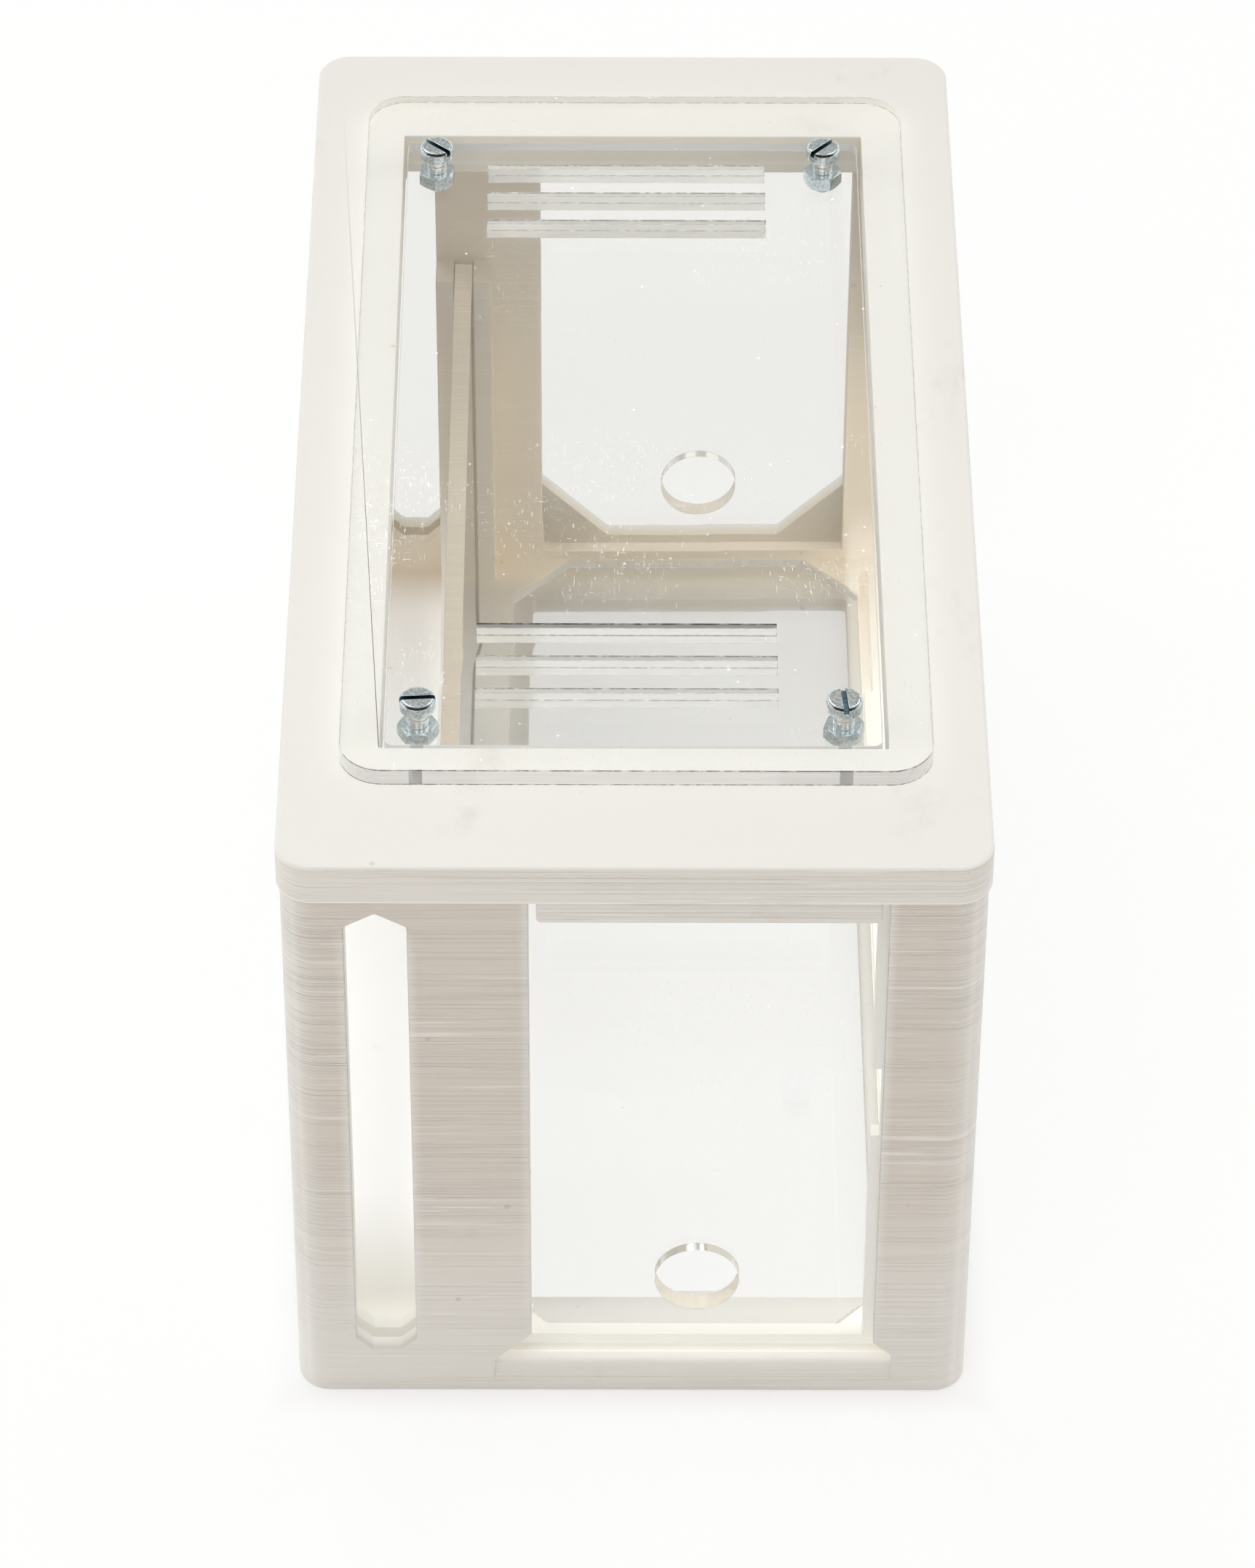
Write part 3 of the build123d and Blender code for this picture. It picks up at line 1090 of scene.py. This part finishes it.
@dataclass(frozen=True)
class CheeseHeadScrew:
    """An M3 slotted cheese-head screw with a real thread."""

    head_radius: float = 2.75 * MM
    head_height: float = 2.0 * MM
    head_round: float = 0.55 * MM
    head_segments: int = 6
    under_round: float = 0.11 * MM
    slot_width: float = 0.8 * MM
    slot_depth: float = 0.85 * MM
    saw_play: float = 0.01 * MM
    burr: float = 0.05 * MM
    rim_line: float = 0.04 * MM
    thread_radius: float = 1.5 * MM
    core_radius: float = 1.2 * MM
    pitch: float = 0.5 * MM
    thread_fill: float = 0.48
    run_out: float = 0.2 * MM
    length: float = 10.0 * MM
    tip_chamfer: float = 0.3 * MM
    seat: float = PLATE_TOP
    sides: int = 56
    steps: int = 24

    @property
    def top(self) -> float:
        """The height of the head's top."""
        return self.seat + self.head_height

    def build(self, name: str) -> bpy.types.Object:
        """Models the screw on the Z axis, with its slot along X.

        Args:
            name: the piece's name.

        Returns:
            The screw.
        """
        head = self._head(name)
        thread = self._thread()
        only(head, thread)
        bpy.ops.object.join()
        settle(head)
        smooth(head, 40)
        lowest = self.top - self.slot_depth - self.burr
        for polygon in head.data.polygons:
            at = polygon.center
            sawn = abs(at.y) < self.slot_width / 2 + self.saw_play
            polygon.material_index = int(sawn and lowest < at.z < self.top - self.burr)
        return head

    def _head(self, name: str) -> bpy.types.Object:
        """Turns the head and the core from one cylinder and saws the slot.

        Args:
            name: the piece's name.

        Returns:
            The head with its core.
        """
        height = self.seat + self.head_height / 2
        head = bar(name, self.sides, self.head_radius, self.head_height, height)
        with editing(head) as mesh:
            pick_faces(mesh, lambda f: f.normal.z < -SQUARE)
            bpy.ops.mesh.inset(thickness=self.head_radius - self.core_radius)
            pull(self.tip_chamfer - self.length)
            pull(-self.tip_chamfer)
            shrink((self.core_radius - self.tip_chamfer) / self.core_radius)
        with editing(head, "EDGE") as mesh:
            pick_edges(mesh, lambda e: all(abs(v.co.z - self.top) < SAME for v in e.verts))
            bpy.ops.mesh.bevel(
                offset=self.head_round, segments=self.head_segments, affect="EDGES"
            )
            pick_edges(
                mesh,
                lambda e: all(
                    abs(v.co.z - self.seat) < SAME and v.co.xy.length > self.thread_radius
                    for v in e.verts
                ),
            )
            bpy.ops.mesh.bevel(offset=self.under_round, segments=2, affect="EDGES")
        bpy.ops.mesh.primitive_cube_add(
            size=1,
            location=(0, 0, self.top),
            scale=(self.head_radius * 3, self.slot_width, self.slot_depth * 2),
        )
        saw = bpy.context.object
        settle(saw)
        cut(head, saw)
        bevel(head, self.burr, 2, 60, use_clamp_overlap=True)
        with editing(head) as mesh:
            pick_faces(
                mesh,
                lambda f: f.normal.z > SQUARE and f.calc_center_median().z > self.top - SAME,
            )
            bpy.ops.mesh.inset(thickness=self.rim_line)
            bpy.ops.mesh.quads_convert_to_tris(ngon_method="BEAUTY")
        return head

    def _thread(self) -> bpy.types.Object:
        """Winds the thread's ridge round the core.

        Returns:
            The ridge, closed at both ends.
        """
        start = self.seat - self.length + self.tip_chamfer
        turns = int((self.length - self.tip_chamfer - self.run_out) / self.pitch)
        bpy.ops.mesh.primitive_circle_add(
            vertices=4, radius=1, location=(0, 0, start), fill_type="NOTHING"
        )
        ridge = bpy.context.object
        half = self.thread_radius - self.core_radius
        with editing(ridge, "VERT"):
            bpy.ops.mesh.select_all(action="SELECT")
            bpy.ops.transform.rotate(
                value=math.pi / 2, orient_axis="X", center_override=(0, 0, start)
            )
            bpy.ops.transform.resize(
                value=(half, 1, self.pitch * self.thread_fill), center_override=(0, 0, start)
            )
            bpy.ops.transform.translate(value=(self.core_radius, 0, 0))
        apply_modifier(
            ridge,
            "SCREW",
            angle=math.tau,
            screw_offset=self.pitch,
            iterations=turns,
            steps=self.steps,
            render_steps=self.steps,
            use_merge_vertices=False,
        )
        settle(ridge)
        with editing(ridge):
            bpy.ops.mesh.select_all(action="SELECT")
            bpy.ops.mesh.fill_holes(sides=4)
            bpy.ops.mesh.select_all(action="SELECT")
            bpy.ops.mesh.normals_make_consistent(inside=False)
        return ridge


@dataclass(frozen=True)
class HexNut:
    """An M3 hexagon nut with chamfered corners and a countersunk hole."""

    across_flats: float = 5.5 * MM
    height: float = 2.4 * MM
    top: float = PLATE_FOOT
    bore: float = 1.3 * MM
    countersink: float = 0.28 * MM
    chamfer: float = 0.34 * MM
    chamfer_inside_flats: float = 0.94
    clearance: float = 0.01 * MM
    margin: float = 1.02

    def build(self, name: str) -> bpy.types.Object:
        """Models the nut on the Z axis, with a corner along X.

        Args:
            name: the piece's name.

        Returns:
            The nut.
        """
        corner = self.across_flats / math.sqrt(3)
        around = corner * self.margin
        centre = self.top - self.height / 2
        height = self.height - 2 * self.clearance
        nut = bar(name, 6, corner, height, centre, math.pi / 6)
        turned = bar("turned_blank", 72, around, height - 2 * self.chamfer, centre)
        for way in (1, -1):
            with editing(turned) as mesh:
                pick_faces(mesh, lambda f, way=way: f.normal.z * way > SQUARE)
                pull(way * self.chamfer)
                shrink(self.across_flats / 2 * self.chamfer_inside_flats / around)
        cut(nut, turned, "INTERSECT")
        cut(nut, bar("drill", 40, self.bore, self.height * 2, centre))
        with editing(nut, "EDGE") as mesh:
            pick_edges(
                mesh,
                lambda e: all(v.co.xy.length < self.bore * self.margin for v in e.verts)
                and abs(e.verts[0].co.z - e.verts[1].co.z) < SAME,
            )
            bpy.ops.mesh.bevel(offset=self.countersink, segments=1, affect="EDGES")
        smooth(nut, 24)
        return nut


def set_down(
    piece: bpy.types.Object, name: str, at: Vector, turn: float
) -> bpy.types.Object:
    """Copies a piece modelled on the Z axis to its place.

    Args:
        piece: the master.
        name: the copy's name.
        at: where it goes; its height stays as it is.
        turn: how far it is turned, in degrees.

    Returns:
        The copy, with its place in its own mesh.
    """
    copy = bpy.data.objects.new(name, piece.data.copy())
    copy.data.name = name
    bpy.context.scene.collection.objects.link(copy)
    place = Matrix.Translation((at.x, at.y, 0))
    copy.matrix_world = place @ Matrix.Rotation(math.radians(turn), 4, "Z")
    bpy.context.view_layer.update()
    settle(copy)
    return copy


@dataclass
class Housing:
    """The printed housing with the clear panes that stand and lie in it."""

    edge_round: float = 0.25 * MM
    port_at: Pair = (12 * MM, 21.4 * MM)
    port_reach: float = 10 * MM
    finish: PrintedPlastic = PrintedPlastic(
        "print_housing",
        pale_light_share=0.7,
        inner_shade_share=0.65,
        windows=((11.05 * MM, 26.75 * MM, 110 * MM), (-38.4 * MM, 4.7 * MM, 100 * MM)),
        painted_glow=SoakedLight(),
    )
    pane: ClearSheet = ClearSheet("pane_faces", dust_share=0.005, scratch=0.15)

    def build(self) -> list[bpy.types.Object]:
        """Builds the housing and its panes.

        Returns:
            The pieces.
        """
        face = self.pane.material()
        rim = CutEdge(
            "pane_rim", Axis.Y, frost=(252, 249, 242), haze=0.95, glow=(0.24, 0.22, 0.185)
        ).material()
        port = CutEdge(
            "port_rim", Axis.Y, frost=(226, 216, 196), haze=0.35, glow=(0.0, 0.0, 0.0)
        ).material()
        floor_rim = CutEdge("floor_pane_rim", Axis.Z, frost=(252, 249, 242), haze=0.75).material()
        made = [
            PrintedBody(
                "housing", "housing", "printed_housing", self.finish, self.edge_round
            ).build()
        ]
        for node in ("front_pane", "back_pane", "front_side_pane", "back_side_pane"):
            pane = AcrylicSheet(
                node, "housing", "pane_acrylic", Axis.Y, face, (rim, port), self._rim_at
            )
            made.append(pane.build())
        floor_pane = AcrylicSheet(
            "floor_pane", "housing", "pane_acrylic", Axis.Z, face, (floor_rim,)
        )
        return [*made, floor_pane.build()]

    def _rim_at(self, at: Vector) -> int:
        """Says which rim a face of an end pane has.

        Args:
            at: the face's centre.

        Returns:
            0 for the pane's outline and 1 for its port.
        """
        return int(math.hypot(at.x - self.port_at[0], at.z - self.port_at[1]) < self.port_reach)


@dataclass
class Lid:
    """The printed lid plate."""

    edge_round: float = 0.22 * MM
    finish: PrintedPlastic = PrintedPlastic(
        "print_lid",
        line=(222, 211, 193),
        line_share=0.175,
        grime_share=0.3,
        top_shade=0.1,
        foot=HOUSING_TOP,
        inner_shade_share=0.5,
    )

    def build(self) -> list[bpy.types.Object]:
        """Builds the lid.

        Returns:
            The pieces.
        """
        return [
            PrintedBody("lid_frame", "lid", "printed_lid", self.finish, self.edge_round).build()
        ]


@dataclass(frozen=True)
class Bolt:
    """One screw with its nut: their number and how far each is turned, in degrees."""

    number: int
    screw_turn: float
    nut_turn: float

    def place(self) -> Vector:
        """Gives the middle of the screw's box."""
        return middle(f"hatch_screw_{self.number}")


@dataclass
class Hatch:
    """Two clear plates with vent slots, held together by four bolts."""

    sheet: ClearSheet = ClearSheet("hatch_faces")
    bolts: tuple[Bolt, ...] = (
        Bolt(1, 4, 0),
        Bolt(2, 95, 12),
        Bolt(3, -42, 25),
        Bolt(4, 47, -8),
    )
    bolt_at: list[Vector] = field(init=False)
    bore_reach: float = 2 * MM
    vent_middle: Pair = (-1.15 * MM, 0.4 * MM)
    vent_half_length: float = 23.9 * MM
    vent_bank: float = 58.7 * MM
    vent_half_depth: float = 8.2 * MM
    screw_zinc: ZincPlate = ZincPlate("zinc_screw")
    # the slot's zinc is darker: painted shade in the sawn recess
    slot_shade_zinc: ZincPlate = ZincPlate("zinc_slot_shade", (112, 136, 146), (74, 96, 106), 0.2)
    nut_zinc: ZincPlate = ZincPlate("zinc_nut", (226, 238, 245), (184, 201, 213), 0.02)

    def __post_init__(self) -> None:
        """Looks up the bolts' places, front pair first."""
        self.bolt_at = [bolt.place() for bolt in self.bolts]
    screw: CheeseHeadScrew = CheeseHeadScrew()
    nut: HexNut = HexNut()

    def build(self) -> list[bpy.types.Object]:
        """Builds the plates and the bolts.

        Returns:
            The pieces.
        """
        face = self.sheet.material()
        rims = (
            CutEdge(
                "hatch_rim",
                Axis.X,
                frost=(247, 247, 246),
                haze=0.88,
                glow=(0.07, 0.07, 0.07),
                # painted highlight along the plate's back rim
                back_glow=(0.22, 0.19, 0.15),
                depth=0.01 * MM,
                lines=((LID_TOP + 0.15 * MM, 0.12 * MM), (PLATE_TOP - 0.15 * MM, 0.12 * MM)),
                windows=tuple(at.x for at in self.bolt_at[:2]),
            ).material(),
            CutEdge(
                "hatch_vents",
                Axis.X,
                haze=0.42,
                depth=0.006 * MM,
                lines=((LID_TOP, 0.3 * MM), (PLATE_TOP - 0.15 * MM, 0.17 * MM)),
            ).material(),
            CutEdge("hatch_bores", Axis.Z, haze=0.15, glow=(0.0, 0.0, 0.0)).material(),
        )
        plates = [
            AcrylicSheet(node, "hatch", "hatch_acrylic", Axis.Z, face, rims, self._rim_at)
            for node in ("hatch_upper_plate", "hatch_lower_plate")
        ]
        return [plate.build() for plate in plates] + self._bolts()

    def _rim_at(self, at: Vector) -> int:
        """Says which rim a face of a plate has.

        Args:
            at: the face's centre.

        Returns:
            0 for the plate's outline, 1 for a vent slot and 2 for a bolt's bore.
        """
        along = abs(at.x - self.vent_middle[0])
        bank = abs(abs(at.y - self.vent_middle[1]) - self.vent_bank)
        if along < self.vent_half_length and bank < self.vent_half_depth:
            return 1
        nearest = min((at.xy - bolt.xy).length for bolt in self.bolt_at)
        return 2 if nearest < self.bore_reach else 0

    def _bolts(self) -> list[bpy.types.Object]:
        """Models one screw and one nut and sets a copy of each at every bolt.

        Returns:
            The screws and nuts.
        """
        screw_master = self.screw.build("screw_master")
        nut_master = self.nut.build("nut_master")
        for zinc in (self.screw_zinc, self.slot_shade_zinc):
            screw_master.data.materials.append(zinc.material())
        nut_master.data.materials.append(self.nut_zinc.material())
        made = []
        for bolt, at in zip(self.bolts, self.bolt_at):
            for kind, master, turn in (
                ("screw", screw_master, bolt.screw_turn),
                ("nut", nut_master, bolt.nut_turn),
            ):
                node = f"hatch_{kind}_{bolt.number}"
                piece = set_down(master, f"{node}_m3", at, turn)
                hand_over(piece, node, "hatch")
                made.append(piece)
        bpy.data.objects.remove(screw_master)
        bpy.data.objects.remove(nut_master)
        return made


@dataclass
class Divider:
    """The clear divider that slides in the printed channels."""

    sheet: ClearSheet = ClearSheet("divider_faces")

    def build(self) -> list[bpy.types.Object]:
        """Builds the divider.

        Returns:
            The pieces.
        """
        face = self.sheet.material()
        rim = CutEdge(
            "divider_rim",
            Axis.X,
            frost=(228, 216, 198),
            haze=0.85,
            glow=(0.09, 0.08, 0.065),
            depth=0.008 * MM,
        ).material()
        pane = AcrylicSheet("divider_pane", "divider", "divider_acrylic", Axis.X, face, (rim,))
        return [pane.build()]


COOL: Triple = (0.97, 1.0, 1.0)
WARM: Triple = (1.0, 0.95, 0.87)
CREAM: Triple = (1.0, 0.99, 0.97)


@dataclass(frozen=True)
class SoftBox:
    """A rectangular lamp: where it hangs, what it faces, its sides, power in watts and colour.

    A lamp that isn't mirrored lights the pieces without showing in them.
    """

    name: str
    at: Triple
    aim: Triple
    sides: Pair
    power: float
    colour: Triple
    mirrored: bool = False
    spread: float = 180.0

    def build(self) -> None:
        """Hangs the lamp."""
        way = Vector(self.aim) - Vector(self.at)
        bpy.ops.object.light_add(
            type="AREA", location=self.at, rotation=way.to_track_quat("-Z", "Y").to_euler()
        )
        lamp = bpy.context.object
        lamp.name = self.name
        lamp.data.shape = "RECTANGLE"
        lamp.data.size, lamp.data.size_y = self.sides
        lamp.data.energy = self.power
        lamp.data.color = self.colour
        lamp.data.spread = math.radians(self.spread)
        lamp.visible_camera = False
        lamp.visible_transmission = self.mirrored
        lamp.visible_glossy = self.mirrored
        lamp.data.cycles.use_multiple_importance_sampling = self.mirrored


@dataclass
class Studio:
    """A pale table under soft light, and the camera."""

    camera_at: Triple = (-3.944 * MM, -815.361 * MM, 762.101 * MM)
    pitch: float = 41.6198
    yaw: float = 0.22845
    roll: float = 0.26967
    lens: float = 151.166
    film: float = 36.0
    table_size: float = 8.0
    table_drop: float = 0.05 * MM
    table_tones: tuple[Triple, Triple] = ((246, 246, 245), (242, 242, 241))
    table_glow: float = 1.04
    table_shown: float = 0.79
    contact_shade: float = 0.2
    contact_from: Pair = (-8 * MM, -3 * MM)
    contact_to: Pair = (6 * MM, 0.0)
    under_shade: float = 0.3
    under_from: Pair = (0.0, -6 * MM)
    under_along: Pair = (-10 * MM, 70 * MM)
    front_fill: Triple = (0.555, 0.51, 0.48)
    back_fill: Triple = (0.62, 0.62, 0.62)
    fill_back: Pair = (-0.7, 0.5)
    ceiling: Triple = (0.44, 0.42, 0.385)
    ceiling_up: Pair = (0.2, 0.65)
    viewer: Triple = (0.02, 0.02, 0.025)
    viewer_side: Pair = (0.97, 0.85)
    viewer_back: Pair = (0.0, -0.15)
    viewer_foot: Pair = (-0.02, 0.05)
    viewer_head: Pair = (0.995, 0.97)
    sheet_fill: Triple = (0.86, 0.85, 0.825)
    sheet_stripes: Pair = (0.7, 1.5)
    stripes_per_side: float = 9.0
    stripes_per_back: float = 5.0
    stripes_up: Pair = (0.15, 0.3)
    lamps: tuple[SoftBox, ...] = (
        SoftBox("key_left", (-0.75, 1.75, 2.4), (0, 0, 0.08), (0.9, 0.9), 7.0, COOL, True),
        SoftBox("key_right", (0.75, 1.75, 2.4), (0, 0, 0.08), (0.9, 0.9), 4.5, COOL, True),
        SoftBox("overhead", (-0.12, -0.4, 0.7), (0, -0.05, 0.1), (0.4, 0.4), 1.05, COOL),
        SoftBox("left", (-1.1, 0.3, 0.5), (0, 0, 0.05), (0.7, 0.7), 3.1, COOL),
        SoftBox("right", (1.1, 0.3, 0.5), (0, 0, 0.05), (0.7, 0.7), 2.6, COOL),
        SoftBox("inside", (0, 0, 0.102), (0, 0, 0), (0.094, 0.18), 0.009, CREAM, spread=80),
        SoftBox("inside_left", (-0.0492, 0, 0.03), (0, 0, 0.03), (0.18, 0.05), 0.002, WARM),
        SoftBox("inside_right", (0.0492, 0, 0.03), (0, 0, 0.03), (0.18, 0.05), 0.024, CREAM),
    )

    def build(self) -> None:
        """Builds the table, the lamps, the world and the camera."""
        self._table()
        self._world()
        for lamp in self.lamps:
            lamp.build()
        self._camera()

    @staticmethod
    def _seen(g: Graph) -> Field:
        """Gives 1 to the rays that see a surface or its image, and 0 to those that light one.

        Args:
            g: the graph to build in.

        Returns:
            The share as a field.
        """
        rays = g.node("ShaderNodeLightPath")
        kinds = [
            Field(g, rays.outputs[name])
            for name in ("Is Camera Ray", "Is Glossy Ray", "Is Transmission Ray")
        ]
        return kinds[0].most(kinds[1]).most(kinds[2])

    def _table(self) -> None:
        """Lays the table, which shows white and keeps the object's shadow."""
        bpy.ops.mesh.primitive_plane_add(size=self.table_size, location=(0, 0, -self.table_drop))
        table = bpy.context.object
        table.name = "table"
        settle(table)
        material, g = new_material("table_white")
        grain = g.noise((40, 40, 40), detail=3)
        light, dark = (tone(*part) for part in self.table_tones)
        matt = g.node("ShaderNodeBsdfDiffuse", None, {"Color": g.mix(grain * 0.3, light, dark)})
        glow = g.node("ShaderNodeEmission", None, {"Color": WHITE, "Strength": self.table_glow})
        across, along, _ = g.parts(g.place())
        away = (abs(across) - HALF_WIDTH).most(abs(along) - HALF_DEPTH)
        contact = away.between(*self.contact_from) * away.between(*self.contact_to)
        under = away.between(*self.under_from) * along.between(*self.under_along)
        # less glow by the base and under the object, so that it shows darker: painted shade
        share = self.table_shown - contact * self.contact_shade - under * self.under_shade
        g.finish(g.shader_mix(self._seen(g) * share, matt.outputs[0], glow.outputs[0]))
        table.data.materials.append(material)

    def _world(self) -> None:
        """Hangs a white surround that greys towards the ceiling and lights less from the front.

        Bright metal shows it with a dark patch where a viewer stands, and what lies behind a
        clear sheet is an even grey with stripes above it.
        """
        world = bpy.data.worlds.new("studio")
        bpy.context.scene.world = world
        world.use_nodes = True
        g = Graph(world.node_tree)
        side, back, up = g.parts(g.node("ShaderNodeTexCoord").outputs["Generated"])
        fill = g.mix(back.between(*self.fill_back), (*self.front_fill, 1), (*self.back_fill, 1))
        shown = g.mix(up.between(*self.ceiling_up), WHITE, (*self.ceiling, 1))
        viewer = abs(side).between(*self.viewer_side) * back.between(*self.viewer_back)
        viewer = viewer * up.between(*self.viewer_foot) * up.between(*self.viewer_head)
        shown = g.mix(viewer, shown, (*self.viewer, 1))
        above = up.between(*self.stripes_up)
        stripes = (side * self.stripes_per_side + back * self.stripes_per_back).wave()
        dim, strong = (
            (*(part * share for part in self.sheet_fill), 1) for share in self.sheet_stripes
        )
        uneven = g.mix(stripes.between(-0.4, 0.4) * above, dim, strong)
        through = g.mix(above, (*self.sheet_fill, 1), uneven)
        surround = g.shader_mix(self._seen(g), g.light(fill), g.light(shown))
        passed = g.node("ShaderNodeLightPath").outputs["Is Transmission Ray"]
        surround = g.shader_mix(passed, surround, g.light(through))
        g.finish(surround, "ShaderNodeOutputWorld")

    def _camera(self) -> None:
        """Sets up the camera."""
        bpy.ops.object.camera_add()
        camera = bpy.context.object
        camera.name = "studio_camera"
        camera.matrix_world = (
            Matrix.Translation(self.camera_at)
            @ Matrix.Rotation(math.radians(-self.yaw), 4, "Z")
            @ Matrix.Rotation(math.radians(90 - self.pitch), 4, "X")
            @ Matrix.Rotation(math.radians(self.roll), 4, "Z")
        )
        camera.data.sensor_fit = "VERTICAL"
        camera.data.sensor_height = self.film
        camera.data.lens = self.lens
        camera.data.clip_start = 0.01
        bpy.context.scene.camera = camera
        bpy.context.scene.view_settings.view_transform = "Standard"


def main() -> None:
    """Builds the studio and the sub-assemblies in order."""
    logging.basicConfig(level=logging.INFO, format="%(name)s: %(message)s", stream=sys.stdout)
    bpy.ops.object.select_all(action="DESELECT")
    Studio().build()
    for assembly in (Housing(), Lid(), Hatch(), Divider()):
        made = assembly.build()
        LOG.info("%s: %d pieces", type(assembly).__name__, len(made))


if __name__ == "__main__":
    main()
